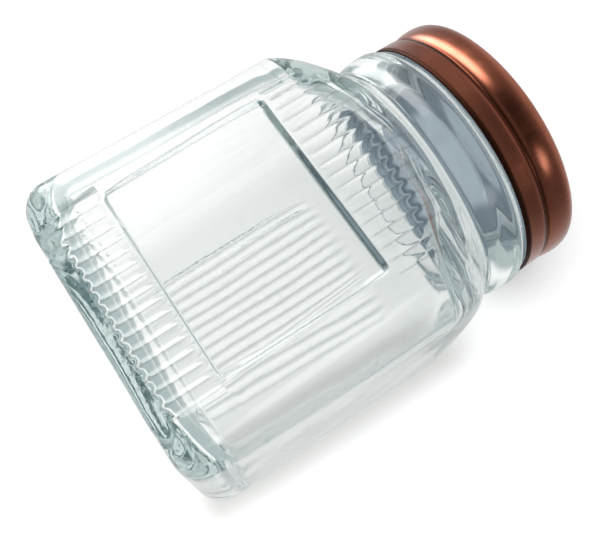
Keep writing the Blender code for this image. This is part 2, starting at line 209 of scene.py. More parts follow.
def finish_rings():
    """The straight finish that carries the thread, and the outer half of the lip."""
    # The ledge's last ring is laid a second time here, which keeps the smooth shading from running across the turn.
    foot = COLLAR_TOP + LEDGE_RISE
    rings = [round_ring(FINISH, z) for z in [foot, FINISH_LOW] + spread(FINISH_LOW, FINISH_HIGH, 22)]
    for turn in [0] + spread(0, math.pi / 2, 4):
        rings.append(round_ring(FINISH - LIP_ROUND * (1 - math.cos(turn)), LIP_TOP - LIP_ROUND * (1 - math.sin(turn))))
    return rings


def inside_rings():
    """The inner half of the lip, the rippled mouth, the shoulder from within, the wall and the floor."""
    rings = []
    for turn in [0] + spread(0, math.pi / 2, 4):
        rings.append(round_ring(MOUTH + LIP_ROUND * (1 - math.sin(turn)), LIP_TOP - LIP_ROUND * (1 - math.cos(turn))))
    for z in spread(LIP_TOP - LIP_ROUND, MOUTH_LOW, 16):
        ripple = MOUTH_RIPPLE * math.sin(1.1 * z / MM) * smooth_step(z, 138 * MM, 132 * MM)
        rings.append(round_ring(MOUTH + ripple, z))
    rings += [round_ring(MOUTH + flare * MM, z * MM) for flare, z in MOUTH_FLARE]
    for turn in spread(math.pi / 2, 0, 16)[1:]:
        ring = shoulder_ring(WALL, MOUTH, WALL_TOP, SHOULDER_TOP - WALL, turn)
        flare = INNER_FLARE * math.sin(turn) ** 12
        rings.append([(reach + flare, z + sweep_up(reach, MOUTH, INNER_SWEEP_RUN, INNER_SWEEP)) for reach, z in ring])
    rings += [square_ring(WALL, z) for z in spread(WALL_TOP, INNER_WALL_LOW, 10)]
    for turn in spread(math.pi / 2, 0, 8):
        rings.append(square_ring(WALL + INNER_HEEL * (1 - math.sin(turn)), FLOOR + INNER_HEEL * (1 - math.cos(turn))))
    for share in (0.8, 0.4, 0.05):
        rings.append(shrunk_ring(share, FLOOR - FLOOR_DISH * (1 - share), WALL + INNER_HEEL))
    return rings


def lay_ring(shape, ring):
    """Puts the newest ring of points in its place, column by column."""
    shape.verts.ensure_lookup_table()
    newest = sorted(shape.verts[-len(COLUMNS):], key=lambda point: from_seam(math.atan2(point.co.y, point.co.x)))
    for point, angle, (reach, z) in zip(newest, COLUMNS, ring):
        point.co = (reach * math.cos(angle), reach * math.sin(angle), z)


def blow_glass():
    """One ring of points is drawn up the outside, over the lip and down the inside, and closed at both ends."""
    outside = base_rings() + wall_rings() + collar_rings() + finish_rings()
    first, *others = outside + inside_rings()
    bpy.ops.object.select_all(action="DESELECT")
    bpy.ops.mesh.primitive_circle_add(vertices=len(COLUMNS), radius=HALF)
    jar = bpy.context.object
    jar.name = jar.data.name = "glass_body"
    bpy.ops.object.mode_set(mode="EDIT")
    bpy.ops.mesh.select_mode(type="EDGE")
    bpy.ops.mesh.select_all(action="SELECT")
    shape = bmesh.from_edit_mesh(jar.data)
    lay_ring(shape, first)
    for ring in others:
        bpy.ops.mesh.extrude_edges_move()
        lay_ring(shape, ring)
    # The floor inside is closed first, then the base outside
    bpy.ops.mesh.extrude_edges_move()
    bpy.ops.mesh.merge(type="CENTER")
    bpy.ops.mesh.select_all(action="DESELECT")
    bpy.ops.mesh.select_non_manifold()
    bpy.ops.mesh.extrude_edges_move()
    bpy.ops.mesh.merge(type="CENTER")
    bpy.ops.mesh.select_all(action="SELECT")
    bpy.ops.mesh.normals_make_consistent(inside=False)
    bpy.ops.object.mode_set(mode="OBJECT")
    skin = len(outside) * len(COLUMNS)
    press_front_and_back(jar.data.vertices[:skin])
    raise_thread(jar.data.vertices[:skin])
    wave_inside(jar.data.vertices[skin:])
    bpy.ops.object.shade_smooth()
    return jar


def flute_depth(x, front):
    """Hollow of the flutes across the face: crisp ribs on the front, softer and deeper waves on the back."""
    share = (x / FLUTE_PITCH) % 1 - 0.5
    fade = smooth_step(abs(x), FLUTE_FIELD, FLUTE_FIELD - 0.3 * MM)
    if front:
        return FRONT_FLUTE * (1 - abs(2 * share) ** FLUTE_SHARPNESS) * fade
    return BACK_FLUTE * (0.5 + 0.5 * math.cos(2 * math.pi * share)) * fade


def panel_distance(x, z):
    """Distance outside the panel's rounded outline, or below zero inside it."""
    across = abs(x) - PANEL_HALF + PANEL_CORNER
    up = abs(z - PANEL_MIDDLE) - PANEL_REACH + PANEL_CORNER
    outside = math.hypot(max(across, 0), max(up, 0))
    return outside + min(max(across, up), 0) - PANEL_CORNER


def soft_least(first, second, blend):
    """The smaller of two reaches, with a round turn where they meet."""
    gap = max(blend - abs(first - second), 0) / blend
    return min(first, second) - gap * gap * blend / 4


def press_front_and_back(points):
    """The mould's flutes, broken by the sunk panel on the front and running the whole way up the back."""
    for point in points:
        x, y, z = point.co
        on_face = abs(y) >= HALF * 0.6 and (z >= 4 * MM or abs(y) >= HALF - 2 * MM)
        if z > SHOULDER_TOP or abs(x) > FLUTE_FIELD or not on_face:
            continue
        if y > 0:
            point.co.y = min(soft_least(y, HALF - flute_depth(x, False), FLUTE_BLEND), HALF)
            continue
        beyond = panel_distance(x, z)
        beside_panel = abs(z - PANEL_MIDDLE) < PANEL_REACH
        around = smooth_step(beyond, PANEL_FRAME * 0.4, PANEL_FRAME + 1.0 * MM)
        hollow = 0 if beside_panel else flute_depth(x, True) * around
        reach = min(soft_least(-y, HALF - hollow, FLUTE_BLEND), HALF)
        point.co.y = PANEL_DEPTH * smooth_step(beyond, 0.15 * MM, -PANEL_EDGE) - reach


def ridge_height(angle, z, low, turns):
    """Height of a screw ridge, from 0 to 1, at a place round the axis."""
    best = 0
    for lap in range(int(turns) + 1):
        along = (angle % (2 * math.pi)) / (2 * math.pi) + lap
        away = abs(z - low - PITCH * along) / THREAD_HALF
        if along <= turns and away < 1:
            ends = min(along / THREAD_FADE, (turns - along) / THREAD_FADE, 1)
            best = max(best, (math.cos(math.pi * away ** 1.3) + 1) / 2 * ends)
    return best


def push_out(point, distance):
    """Moves a point straight away from the axis."""
    reach = max(point.co.xy.length, MM)
    point.co.x, point.co.y = point.co.x * (reach + distance) / reach, point.co.y * (reach + distance) / reach


def raise_thread(points):
    """The screw ridge on the outside of the finish."""
    for point in points:
        x, y, z = point.co
        if FINISH_LOW - 0.1 * MM <= z <= FINISH_HIGH + 0.5 * MM:
            push_out(point, THREAD_RISE * ridge_height(math.atan2(y, x), z, GLASS_THREAD_LOW, GLASS_THREAD_TURNS))


def wave_inside(points):
    """The inside of blown glass is never quite even."""
    for point in points:
        x, y, z = point.co
        if z > 122 * MM:
            continue
        angle = math.atan2(y, x)
        wave = math.sin(3 * angle + 60 * z) + math.sin(7 * angle - 110 * z + 1)
        wave += 0.7 * math.sin(13 * angle + 260 * z + 2) + 0.6 * math.sin(310 * z + 4 * math.sin(2 * angle))
        push_out(point, INSIDE_WAVE * wave * smooth_step(math.hypot(x, y), 2 * MM, 20 * MM))


# Metal lid, as (radius, height) in millimetres: outside from the middle of the top down to the curl, then inside
LID_ROOF = [(0, 143.0), (12, 143.0), (24, 143.0), (31.2, 143.0)]
LID_STEP = [(32.6, 142.97), (33.4, 142.85), (34.0, 142.7), (34.6, 142.75), (35.3, 143.0), (36.2, 143.22), (38.2, 143.3)]
LID_EDGE = [(39.95, 143.3), (40.9, 143.2), (41.7, 142.95), (42.35, 142.5), (42.8, 141.9), (43.12, 141.1)]
LID_BULGE = [(43.32, 140.1), (43.4, 139.1), (43.39, 138.1), (43.33, 137.1), (43.22, 136.2), (43.06, 135.35)]
LID_GROOVE = [(42.85, 134.6), (42.58, 133.95), (42.35, 133.5), (42.22, 133.15), (42.27, 132.85), (42.5, 132.5),
              (42.8, 132.1), (43.0, 131.6)]
LID_SKIRT = [(43.05, 131.0), (43.07, 130.4), (43.08, 129.8), (43.09, 129.2), (43.1, 128.6), (43.12, 128.0),
             (43.15, 127.3), (43.19, 126.6), (43.2, 126.1)]
LID_SIDE = LID_EDGE + LID_BULGE + LID_GROOVE + LID_SKIRT
LID_INNER_ROOF = [(41.4, 142.2), (40.5, 142.65), (39.2, 142.8), (36.3, 142.75), (34.6, 142.3), (33.9, 142.2),
                  (33.2, 142.35), (31.2, 142.5), (24, 142.5), (12, 142.5), (0, 142.5)]
LID_SHEET, LID_INNER_LOW, LID_INNER_HIGH = 0.5, 126.4, 141.6
CURL, CURL_TURN, CURL_DROP = 0.6, math.radians(290), 2


def lid_side_at(z):
    """Outer radius of the lid's side at a height, read off its outline."""
    for (low_radius, low), (high_radius, high) in zip(reversed(LID_SIDE), reversed(LID_SIDE[:-1])):
        if low <= z <= high:
            share = (z - low) / max(high - low, 0.001)
            return low_radius + (high_radius - low_radius) * share
    return LID_SIDE[-1][0]


def lid_profile():
    """Points from the top's centre, out and down the side, round the curl and back up inside."""
    edge_radius, edge_z = LID_SIDE[-1]
    curl = []
    for turn in spread(0, CURL_TURN, 10):
        drop = CURL * math.sin(turn) * (CURL_DROP if turn < math.pi else 1)
        curl.append((edge_radius - CURL * (1 - math.cos(turn)), edge_z - drop))
    heights = [LID_INNER_LOW] + spread(LID_INNER_LOW, LID_INNER_HIGH, 38)
    inner = [(lid_side_at(z) - LID_SHEET, z) for z in heights]
    return LID_ROOF + LID_STEP + LID_SIDE + curl + inner + LID_INNER_ROOF


def spin_profile(name, outline, steps):
    """A line of points, drawn out from one point and spun once round the axis."""
    points = [(radius * MM, z * MM) for radius, z in outline]
    bpy.ops.object.select_all(action="DESELECT")
    bpy.ops.mesh.primitive_plane_add(size=2 * MM)
    piece = bpy.context.object
    piece.name = piece.data.name = name
    bpy.ops.object.mode_set(mode="EDIT")
    bpy.ops.mesh.select_mode(type="VERT")
    bpy.ops.mesh.select_all(action="SELECT")
    bpy.ops.mesh.merge(type="CENTER")
    shape = bmesh.from_edit_mesh(piece.data)
    shape.verts.ensure_lookup_table()
    shape.verts[0].co = (points[0][0], 0, points[0][1])
    for here, after in zip(points, points[1:]):
        step = (after[0] - here[0], 0, after[1] - here[1])
        bpy.ops.mesh.extrude_vertices_move(TRANSFORM_OT_translate={"value": step})
    bpy.ops.mesh.select_all(action="SELECT")
    bpy.ops.mesh.spin(steps=steps, angle=2 * math.pi, center=(0, 0, 0), axis=(0, 0, 1))
    bpy.ops.mesh.select_all(action="SELECT")
    bpy.ops.mesh.remove_doubles(threshold=0.004 * MM)
    bpy.ops.mesh.normals_make_consistent(inside=False)
    bpy.ops.object.mode_set(mode="OBJECT")
    bpy.ops.object.shade_smooth()
    return piece


def faces_inward(face):
    """Whether a face of the lid is under its top, behind its side or inside its curl."""
    reach, z = face.center.xy.length, face.center.z
    if z > 142 * MM:
        return face.normal.z < 0
    in_curl = z < 126.3 * MM and reach < 42.5 * MM
    return in_curl or (z > 126 * MM and reach < (lid_side_at(z / MM) - LID_SHEET / 2) * MM)


def spin_lid(outside, inside):
    """The lid is one sheet, spun, with its screw ridge pressed inward, copper outside and grey inside."""
    lid = spin_profile("copper_lid", lid_profile(), 192)
    for point in lid.data.vertices:
        x, y, z = point.co
        reach = math.hypot(x, y)
        if 126.3 * MM <= z <= 134 * MM and reach <= (lid_side_at(z / MM) - 0.3) * MM:
            ridge = ridge_height(math.atan2(y, x), z, LID_THREAD_LOW, LID_THREAD_TURNS)
            push_out(point, (LID_THREAD_CREST - reach) * ridge)
    lid.data.materials.append(outside)
    lid.data.materials.append(inside)
    for face in lid.data.polygons:
        face.material_index = int(faces_inward(face))
    return lid


# Sealing ring, as (radius, height) in millimetres: a flat ring on the lip with a short skirt round it
SEAL_INNER_EDGE = [(35.95, 141.0), (35.85, 141.25), (35.85, 141.9), (36.0, 142.3)]
SEAL_TOP = [(36.6, 142.5), (38.5, 142.5), (40.4, 142.5), (41.0, 142.3)]
SEAL_SKIRT = [(41.8, 141.4), (42.1, 140.9), (42.15, 139.6), (42.0, 139.0), (41.6, 138.9), (41.0, 138.9),
              (40.65, 139.05), (40.55, 139.4), (40.55, 140.7)]
SEAL_UNDER = [(40.3, 141.0), (38.5, 141.0)]


def spin_seal():
    """The ring is one closed outline, spun."""
    outline = SEAL_INNER_EDGE + SEAL_TOP + SEAL_SKIRT + SEAL_UNDER
    return spin_profile("sealing_ring", outline + outline[:1], 144)


# Colours and strengths of the finishes. Heights and radii on the lid are in millimetres in its paint
GLASS_TINT, GLASS_SHADE, GLASS_SMEAR = (0.94, 0.944, 0.941), (0.925, 0.928, 0.927), (0.80, 0.82, 0.82)
# The panel line colour, its strength and the rib shade are painted shade on the glass's tint
GLASS_DEPTHS, PANEL_EDGE_SHADE, PANEL_EDGE_SHADE_STRENGTH, PAINTED_RIB_SHADE = (0.68, 0.80, 0.79), (0.16, 0.24, 0.23), 0.85, 0.62
COPPER, COPPER_DEEP, COPPER_RUBBED = (0.42, 0.125, 0.066), (0.36, 0.105, 0.055), (0.62, 0.27, 0.17)
# The copper shadow and curl colours are painted shade
COPPER_SHADOW, COPPER_CURL_SHADE = (0.07, 0.022, 0.014), (0.03, 0.012, 0.008)
# The lacquer's darker ring and rim colours are painted shade inside the lid
LACQUER, LACQUER_STEP_SHADE = (0.64, 0.74, 0.82), (0.28, 0.36, 0.44)
LACQUER_RIM_SHADE, LACQUER_STAIN = (0.48, 0.58, 0.66), (0.30, 0.31, 0.31)
SEAL, SEAL_PALE, SEAL_SPECK = (0.55, 0.63, 0.68), (0.62, 0.70, 0.75), (0.55, 0.53, 0.49)


def new_material(name):
    """A material with its node tree and its shader."""
    surface = bpy.data.materials.new(name)
    surface.use_nodes = True
    tree = surface.node_tree
    return surface, tree, tree.nodes["Principled BSDF"]


def add(tree, kind, **values):
    """A node with its settings."""
    node = tree.nodes.new(kind)
    for name, value in values.items():
        setattr(node, name, value)
    return node


def fill(node, **values):
    """Sets a node's sockets by name, with _ for a space."""
    for name, value in values.items():
        node.inputs[name.replace("_", " ")].default_value = value
    return node


def new_group(name, inputs, outputs):
    """An effect shared by the materials, with its own sockets."""
    group = bpy.data.node_groups.new(name, "ShaderNodeTree")
    for label, kind, value in inputs:
        socket = group.interface.new_socket(label, in_out="INPUT", socket_type=kind)
        if value is not None:
            socket.default_value = value
    for label, kind in outputs:
        group.interface.new_socket(label, in_out="OUTPUT", socket_type=kind)
    return group, add(group, "NodeGroupInput"), add(group, "NodeGroupOutput")


def use(tree, group, vector, **values):
    """Places a shared effect in a material, with its own values."""
    node = add(tree, "ShaderNodeGroup", node_tree=group)
    fill(node, **values)
    tree.links.new(vector, node.inputs["Vector"])
    return node.outputs


def places_of(tree):
    """Where a point of the piece is, in metres."""
    return add(tree, "ShaderNodeTexCoord").outputs["Object"]


def split(tree, vector):
    """A vector's x, y and z."""
    parts = add(tree, "ShaderNodeSeparateXYZ")
    tree.links.new(vector, parts.inputs["Vector"])
    return parts.outputs["X"], parts.outputs["Y"], parts.outputs["Z"]


def noise_in(tree, vector, scale, detail=3.0, roughness=0.55, stretch=None, warp=0.0):
    """Unevenness from 0 to 1, drawn out along an axis if stretch is given."""
    if stretch:
        turned = add(tree, "ShaderNodeMapping")
        turned.inputs["Scale"].default_value = stretch
        tree.links.new(vector, turned.inputs["Vector"])
        vector = turned.outputs["Vector"]
    noise = fill(add(tree, "ShaderNodeTexNoise"), Scale=scale, Detail=detail, Roughness=roughness, Distortion=warp)
    tree.links.new(vector, noise.inputs["Vector"])
    return noise.outputs["Fac"]


def between(tree, value, start, end, low=0.0, high=1.0):
    """Soft step of a value from start to end, as a mask or a shade."""
    step = add(tree, "ShaderNodeMapRange", interpolation_type="SMOOTHSTEP")
    fill(step, From_Min=start, From_Max=end, To_Min=low, To_Max=high)
    tree.links.new(value, step.inputs["Value"])
    return step.outputs["Result"]


def combine(tree, operation, first, second=0.0):
    """One sum on masks, measures or numbers."""
    node = add(tree, "ShaderNodeMath", operation=operation)
    for socket, value in zip(node.inputs, (first, second)):
        if isinstance(value, (int, float)):
            socket.default_value = value
        else:
            tree.links.new(value, socket)
    return node.outputs["Value"]


def times(tree, *values):
    """Product of masks and numbers."""
    product = values[0]
    for value in values[1:]:
        product = combine(tree, "MULTIPLY", product, value)
    return product


def blend_colour(tree, factor, first, second):
    """From the first colour to the second as the mask goes from 0 to 1."""
    mix = add(tree, "ShaderNodeMix", data_type="RGBA")
    tree.links.new(factor, mix.inputs[0])
    for socket, colour in ((mix.inputs[6], first), (mix.inputs[7], second)):
        if isinstance(colour, tuple):
            socket.default_value = (*colour, 1)
        else:
            tree.links.new(colour, socket)
    return mix.outputs[2]


def mix_shaders(tree, factor, first, second):
    """Puts the first shader on the surface, and the second one where the mask is 1."""
    mix = add(tree, "ShaderNodeMixShader")
    for socket, value in zip(mix.inputs, (factor, first.outputs["BSDF"], second.outputs["BSDF"])):
        tree.links.new(value, socket)
    tree.links.new(mix.outputs["Shader"], tree.nodes["Material Output"].inputs["Surface"])


def grain_group():
    """Two sizes of unevenness turned into a normal."""
    group, given, result = new_group("surface_grain", [
        ("Vector", "NodeSocketVector", None), ("Scale", "NodeSocketFloat", 1000.0),
        ("Coarse Scale", "NodeSocketFloat", 100.0), ("Depth", "NodeSocketFloat", 0.0001),
        ("Strength", "NodeSocketFloat", 0.1)], [("Normal", "NodeSocketVector")])
    fine = fill(add(group, "ShaderNodeTexNoise"), Detail=4.0, Roughness=0.6)
    coarse = fill(add(group, "ShaderNodeTexNoise"), Detail=2.0, Roughness=0.5)
    bump = add(group, "ShaderNodeBump")
    for label, socket in (("Scale", fine.inputs["Scale"]), ("Coarse Scale", coarse.inputs["Scale"]),
                          ("Vector", fine.inputs["Vector"]), ("Vector", coarse.inputs["Vector"]),
                          ("Depth", bump.inputs["Distance"]), ("Strength", bump.inputs["Strength"])):
        group.links.new(given.outputs[label], socket)
    group.links.new(combine(group, "ADD", fine.outputs["Fac"], coarse.outputs["Fac"]), bump.inputs["Height"])
    group.links.new(bump.outputs["Normal"], result.inputs["Normal"])
    return group


def smear_group():
    """Patches where hands and cloths have touched the surface."""
    group, given, result = new_group("handling_smears", [("Vector", "NodeSocketVector", None)],
                                     [("Smears", "NodeSocketFloat"), ("Specks", "NodeSocketFloat")])
    vector = given.outputs["Vector"]
    broad = between(group, noise_in(group, vector, 26.0, warp=1.2), 0.48, 0.68)
    streaks = between(group, noise_in(group, vector, 160.0, stretch=(1.0, 1.0, 0.25)), 0.42, 0.66)
    specks = between(group, noise_in(group, vector, 1500.0, 2.0), 0.69, 0.75)
    group.links.new(times(group, broad, streaks), result.inputs["Smears"])
    group.links.new(specks, result.inputs["Specks"])
    return group


def ring_group():
    """Distance from the jar's axis and height, in millimetres."""
    group, given, result = new_group("round_the_axis", [("Vector", "NodeSocketVector", None)],
                                     [("Radius", "NodeSocketFloat"), ("Height", "NodeSocketFloat")])
    x, y, z = split(group, given.outputs["Vector"])
    square = combine(group, "ADD", times(group, x, x), times(group, y, y))
    group.links.new(times(group, combine(group, "SQRT", square), 1000), result.inputs["Radius"])
    group.links.new(times(group, z, 1000), result.inputs["Height"])
    return group


def rib_shade_group():
    """Painted shade: thin dark lines along the tops of the front's ribs, outside the sunk panel, and one along the
    panel's upper edge.
    """
    group, given, result = new_group("front_rib_painted_shade", [("Vector", "NodeSocketVector", None)],
                                     [("Rib Shade", "NodeSocketFloat"), ("Panel Edge Shade", "NodeSocketFloat")])
    x, y, z = split(group, given.outputs["Vector"])
    across = combine(group, "ABSOLUTE", x)
    lap = combine(group, "FRACT", combine(group, "ADD", combine(group, "DIVIDE", x, FLUTE_PITCH), 20))
    from_rib = combine(group, "SUBTRACT", 0.5, combine(group, "ABSOLUTE", combine(group, "SUBTRACT", lap, 0.5)))
    from_middle = combine(group, "ABSOLUTE", combine(group, "SUBTRACT", z, PANEL_MIDDLE))
    on_rib = between(group, from_rib, 0.14, 0.02)
    in_field = between(group, across, FLUTE_FIELD + 0.6 * MM, FLUTE_FIELD)
    on_face = between(group, y, -46.9 * MM, -47.3 * MM)
    off_panel = between(group, from_middle, PANEL_REACH, PANEL_REACH + 3 * MM)
    group.links.new(times(group, on_rib, in_field, on_face, off_panel), result.inputs["Rib Shade"])
    # Painted shade along the panel's upper edge
    in_panel = between(group, across, PANEL_HALF - 1.0 * MM, PANEL_HALF - 2.0 * MM)
    over_edge = between(group, z, PANEL_HIGH - 1.7 * MM, PANEL_HIGH - 1.3 * MM)
    under_frame = between(group, z, PANEL_HIGH + 0.2 * MM, PANEL_HIGH - 0.1 * MM)
    on_panel_face = between(group, y, -46.0 * MM, -46.4 * MM)
    group.links.new(times(group, in_panel, over_edge, under_frame, on_panel_face), result.inputs["Panel Edge Shade"])
    return group


def paint_glass(grain, smears, ribs):
    """Clear pressed glass, faintly grey-green in thick places, with a slow ripple in its skin."""
    surface, tree, shader = new_material("clear_pressed_glass")
    fill(shader, IOR=1.5, Transmission_Weight=1.0)
    vector = places_of(tree)
    skin = use(tree, grain, vector, Scale=140.0, Coarse_Scale=45.0, Depth=0.0003, Strength=0.08)
    tree.links.new(skin["Normal"], shader.inputs["Normal"])
    painted_rib_shade, marks = use(tree, ribs, vector), use(tree, smears, vector)
    # Painted shade: the glass's tint is darker in thin lines along the front's rib tops
    tint = blend_colour(tree, painted_rib_shade["Rib Shade"], GLASS_TINT, tuple(part * PAINTED_RIB_SHADE for part in GLASS_TINT))
    # Painted shade: a dark teal line along the panel's upper edge
    tint = blend_colour(tree, times(tree, painted_rib_shade["Panel Edge Shade"], PANEL_EDGE_SHADE_STRENGTH), tint, PANEL_EDGE_SHADE)
    tint = blend_colour(tree, times(tree, marks["Smears"], 0.10), tint, GLASS_SMEAR)
    tree.links.new(tint, shader.inputs["Base Color"])
    tree.links.new(times(tree, marks["Smears"], 0.004), shader.inputs["Roughness"])
    # Light on its way to the floor and to the other pieces passes straight through
    see_through = add(tree, "ShaderNodeBsdfTransparent")
    see_through.inputs["Color"].default_value = (*GLASS_SHADE, 1)
    path = add(tree, "ShaderNodeLightPath")
    either = combine(tree, "MAXIMUM", path.outputs["Is Shadow Ray"], path.outputs["Is Diffuse Ray"])
    mix_shaders(tree, either, shader, see_through)
    absorb = fill(add(tree, "ShaderNodeVolumeAbsorption"), Color=(*GLASS_DEPTHS, 1), Density=10.0)
    tree.links.new(absorb.outputs["Volume"], tree.nodes["Material Output"].inputs["Volume"])
    return surface


def paint_copper(grain, smears, ring):
    """Copper-coloured lacquer on tinplate: fine orange peel, rubbed a little lighter on the top edge, with painted
    shade in the groove, on the ledge under it and on the curl."""
    surface, tree, shader = new_material("copper_coloured_lacquer")
    fill(shader, Metallic=1.0, Coat_Roughness=0.18)
    vector = places_of(tree)
    peel = use(tree, grain, vector, Scale=2600.0, Coarse_Scale=420.0, Depth=0.00006, Strength=0.16)
    tree.links.new(peel["Normal"], shader.inputs["Normal"])
    spot, marks = use(tree, ring, vector), use(tree, smears, vector)
    radius, height = spot["Radius"], spot["Height"]
    colour = blend_colour(tree, between(tree, noise_in(tree, vector, 90.0, 4.0), 0.35, 0.65), COPPER_DEEP, COPPER)
    edge = times(tree, between(tree, height, 142.1, 142.9), between(tree, radius, 40.4, 41.6))
    rubbed = times(tree, edge, between(tree, noise_in(tree, vector, 420.0, 4.0), 0.42, 0.62))
    colour = blend_colour(tree, times(tree, rubbed, 0.55), colour, COPPER_RUBBED)
    # Painted shade: the lacquer is darkened in the groove, on the ledge under it and, darker still, on the curl
    groove = times(tree, between(tree, radius, 42.75, 42.35), between(tree, height, 134.4, 133.9))
    ledge = times(tree, between(tree, height, 131.2, 132.0), between(tree, height, 133.3, 132.9))
    curl = between(tree, height, 126.9, 126.0)
    dark = combine(tree, "MAXIMUM", combine(tree, "MAXIMUM", groove, ledge), curl)
    colour = blend_colour(tree, times(tree, dark, 0.78), colour, COPPER_SHADOW)
    colour = blend_colour(tree, times(tree, curl, 0.8), colour, COPPER_CURL_SHADE)
    tree.links.new(colour, shader.inputs["Base Color"])
    tree.links.new(times(tree, combine(tree, "SUBTRACT", 1.0, dark), 0.55), shader.inputs["Coat Weight"])
    top = times(tree, between(tree, height, 142.3, 142.6), between(tree, radius, 40.5, 37.5))
    worn = combine(tree, "ADD", times(tree, marks["Smears"], 0.10), times(tree, marks["Specks"], 0.12))
    dull = combine(tree, "ADD", times(tree, top, 0.16), times(tree, curl, 0.3))
    tree.links.new(combine(tree, "ADD", combine(tree, "ADD", worn, dull), 0.22), shader.inputs["Roughness"])
    return surface


def paint_lid_inside(grain, smears, ring):
    """Pale blue-grey lacquer, with painted shade darkest in a ring where the top steps down and lighter out at the rim.
    """
    surface, tree, shader = new_material("pale_grey_lid_inside")
    fill(shader, Metallic=0.35)
    vector = places_of(tree)
    skin = use(tree, grain, vector, Scale=1500.0, Coarse_Scale=260.0, Depth=0.00008, Strength=0.2)
    tree.links.new(skin["Normal"], shader.inputs["Normal"])
    radius = use(tree, ring, vector)["Radius"]
    # Painted shade: darker in a ring where the top steps down, less dark out at the rim
    colour = blend_colour(tree, between(tree, radius, 20.0, 26.0), LACQUER, LACQUER_STEP_SHADE)
    colour = blend_colour(tree, between(tree, radius, 33.0, 36.5), colour, LACQUER_RIM_SHADE)
    stains = times(tree, between(tree, noise_in(tree, vector, 70.0, 4.0, warp=0.8), 0.5, 0.7), 0.3)
    tree.links.new(blend_colour(tree, stains, colour, LACQUER_STAIN), shader.inputs["Base Color"])
    worn = times(tree, use(tree, smears, vector)["Smears"], 0.12)
    tree.links.new(combine(tree, "ADD", worn, 0.4), shader.inputs["Roughness"])
    return surface


def paint_seal(grain, smears):
    """Soft pale blue-grey sealing ring with a matt, slightly mottled skin."""
    surface, tree, shader = new_material("soft_pale_sealing_ring")
    fill(shader, Subsurface_Weight=0.08, Subsurface_Scale=0.002)
    vector = places_of(tree)
    skin = use(tree, grain, vector, Scale=1100.0, Coarse_Scale=190.0, Depth=0.0001, Strength=0.3)
    tree.links.new(skin["Normal"], shader.inputs["Normal"])
    marks = use(tree, smears, vector)
    colour = blend_colour(tree, between(tree, noise_in(tree, vector, 120.0, 4.0), 0.35, 0.7), SEAL, SEAL_PALE)
    colour = blend_colour(tree, times(tree, marks["Specks"], 0.4), colour, SEAL_SPECK)
    tree.links.new(colour, shader.inputs["Base Color"])
    tree.links.new(combine(tree, "ADD", times(tree, marks["Smears"], 0.15), 0.42), shader.inputs["Roughness"])
    return surface


def dress():
    """The three pieces, each on its body and in place of its solid."""
    grain, smears, ring, ribs = grain_group(), smear_group(), ring_group(), rib_shade_group()
    jar = blow_glass()
    jar.data.materials.append(paint_glass(grain, smears, ribs))
    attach(jar, "jar")
    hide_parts("glass_jar")
    lid = spin_lid(paint_copper(grain, smears, ring), paint_lid_inside(grain, smears, ring))
    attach(lid, "lid")
    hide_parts("lid_cap")
    seal = spin_seal()
    seal.data.materials.append(paint_seal(grain, smears))
    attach(seal, "seal")
    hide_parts("seal_ring")


# Pale sheet that the jar lies on
SHEET_SIZE, SHEET_GAP, AXIS_MIDDLE = 3.0, 0.5 * MM, 0.07
SHEET_DIM, SHEET_WHITE = (0.945, 0.945, 0.942), (0.955, 0.955, 0.955)
# The line, border and far colours are painted shade on the sheet, and the band strengths on the next line are painted
# light
SHEET_LINE_SHADE, SHEET_SIDE_SHADOW, SHEET_FAR_SHADE = (0.78, 0.79, 0.79), (0.62, 0.615, 0.60), (0.33, 0.40, 0.40)
SHEET_GLOW, SHEET_FAR_GLOW, BAND_DIM, BAND_BRIGHT = 0.08, 0.5, -0.08, 0.16


def sheet_side_shadow(tree, x, z):
    """Mask of the painted shadow that the jar's sides cast on the sheet as a greyer border, weak on the side of the
    window.
    """
    across = combine(tree, "ABSOLUTE", x)
    inner, outer = between(tree, across, 34 * MM, 45 * MM), between(tree, across, 60 * MM, 47 * MM)
    strength = between(tree, x, -30 * MM, 30 * MM, 0.2, 1.0)
    low, high = between(tree, z, -9 * MM, 4 * MM), between(tree, z, 120 * MM, 98 * MM)
    return times(tree, inner, outer, strength, low, high)


def sheet_under_flutes(tree, x, z):
    """Mask of the ground under the back flutes."""
    in_field = between(tree, combine(tree, "ABSOLUTE", x), FLUTE_FIELD, FLUTE_FIELD - 3 * MM)
    low, high = between(tree, z, 4 * MM, 12 * MM), between(tree, z, 97 * MM, WALL_TOP)
    return times(tree, in_field, low, high)


def sheet_far_shade(tree, x, z, path):
    """Mask of painted shade on the sheet far from the jar, dark only where the sheet is seen through the glass."""
    beside = combine(tree, "ABSOLUTE", combine(tree, "DIVIDE", combine(tree, "ADD", x, 80 * MM), 140 * MM))
    beyond = combine(tree, "ABSOLUTE", combine(tree, "DIVIDE", combine(tree, "SUBTRACT", z, 70 * MM), 100 * MM))
    away = between(tree, combine(tree, "MAXIMUM", beside, beyond), 1.0, 1.15)
    return times(tree, away, path.outputs["Is Transmission Ray"])


